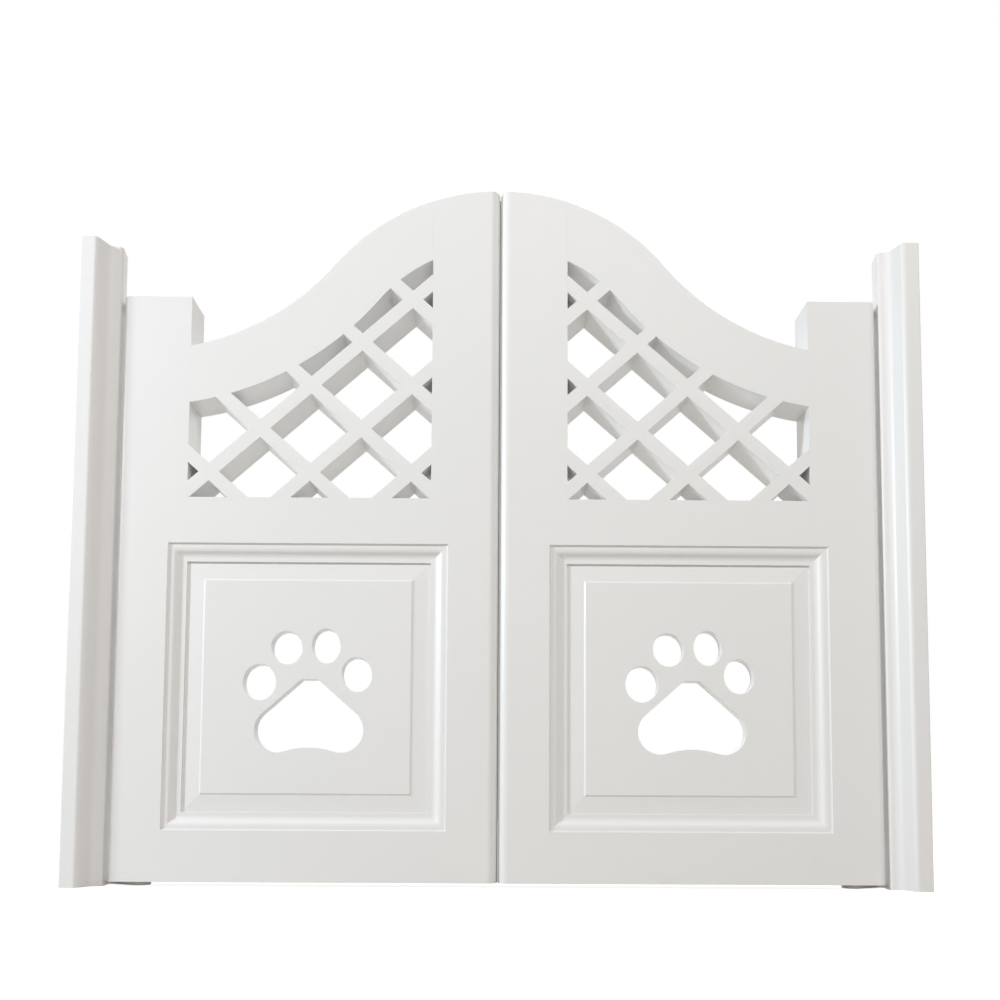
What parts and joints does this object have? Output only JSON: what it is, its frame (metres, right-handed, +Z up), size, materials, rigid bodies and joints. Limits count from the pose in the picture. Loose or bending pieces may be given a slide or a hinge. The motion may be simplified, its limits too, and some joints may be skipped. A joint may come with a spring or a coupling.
{
  "type": "cafe swinging doors",
  "caption": "Sprung double-action cafe doors with swept tops, diagonal lattice windows and raised panels with paw-print cut-outs, hung between moulded jambs.",
  "frame": {"origin": "on the centre line between the leaves, at the foot of the jambs, midway through the overall depth", "axes": "+X to the right along the width, +Y towards the back, +Z up; the moulded casings face -Y"},
  "size_m": [0.903, 0.063, 0.7605],
  "materials": {
    "white_lacquer": "satin white lacquer on wood",
    "bare_wood": "bare beech",
    "white_bracket": "white powder coat",
    "steel": "zinc plated",
    "nylon": "natural nylon"
  },
  "bodies": {
    "jambs": {"left_casing": "white_lacquer", "left_jamb_post": "white_lacquer", "left_casing_screws": "steel", "left_top_pivot_bracket": "white_bracket", "left_top_pivot_pin": "steel", "left_bottom_pivot_bracket": "white_bracket", "left_pivot_spindle": "steel", "left_thrust_washer": "nylon", "left_pivot_screws": "steel", "right_casing": "white_lacquer", "right_jamb_post": "white_lacquer", "right_casing_screws": "steel", "right_top_pivot_bracket": "white_bracket", "right_top_pivot_pin": "steel", "right_bottom_pivot_bracket": "white_bracket", "right_pivot_spindle": "steel", "right_thrust_washer": "nylon", "right_pivot_screws": "steel"},
    "left_leaf": {"left_hinge_stile": "white_lacquer", "left_meeting_stile": "white_lacquer", "left_bottom_rail": "white_lacquer", "left_mid_rail": "white_lacquer", "left_lattice_head": "white_lacquer", "left_loose_tenons": "bare_wood", "left_raised_panel": "white_lacquer", "left_front_moulding": "white_lacquer", "left_back_moulding": "white_lacquer", "left_top_pivot_bush": "nylon", "left_spring_housing": "steel", "left_housing_cap": "steel", "left_torsion_spring": "steel"},
    "right_leaf": {"right_hinge_stile": "white_lacquer", "right_meeting_stile": "white_lacquer", "right_bottom_rail": "white_lacquer", "right_mid_rail": "white_lacquer", "right_lattice_head": "white_lacquer", "right_loose_tenons": "bare_wood", "right_raised_panel": "white_lacquer", "right_front_moulding": "white_lacquer", "right_back_moulding": "white_lacquer", "right_top_pivot_bush": "nylon", "right_spring_housing": "steel", "right_housing_cap": "steel", "right_torsion_spring": "steel"}
  },
  "joints": [
    {"name": "left_leaf_swing", "type": "hinge", "parent": "jambs", "child": "left_leaf", "pos_m": [-0.38, 0.0055, 0], "axis": [0, 0, 1], "range_deg": [-90, 90], "stiffness_Nm_per_rad": 2},
    {"name": "right_leaf_swing", "type": "hinge", "parent": "jambs", "child": "right_leaf", "pos_m": [0.38, 0.0055, 0], "axis": [0, 0, 1], "range_deg": [-90, 90], "stiffness_Nm_per_rad": 2}
  ]
}
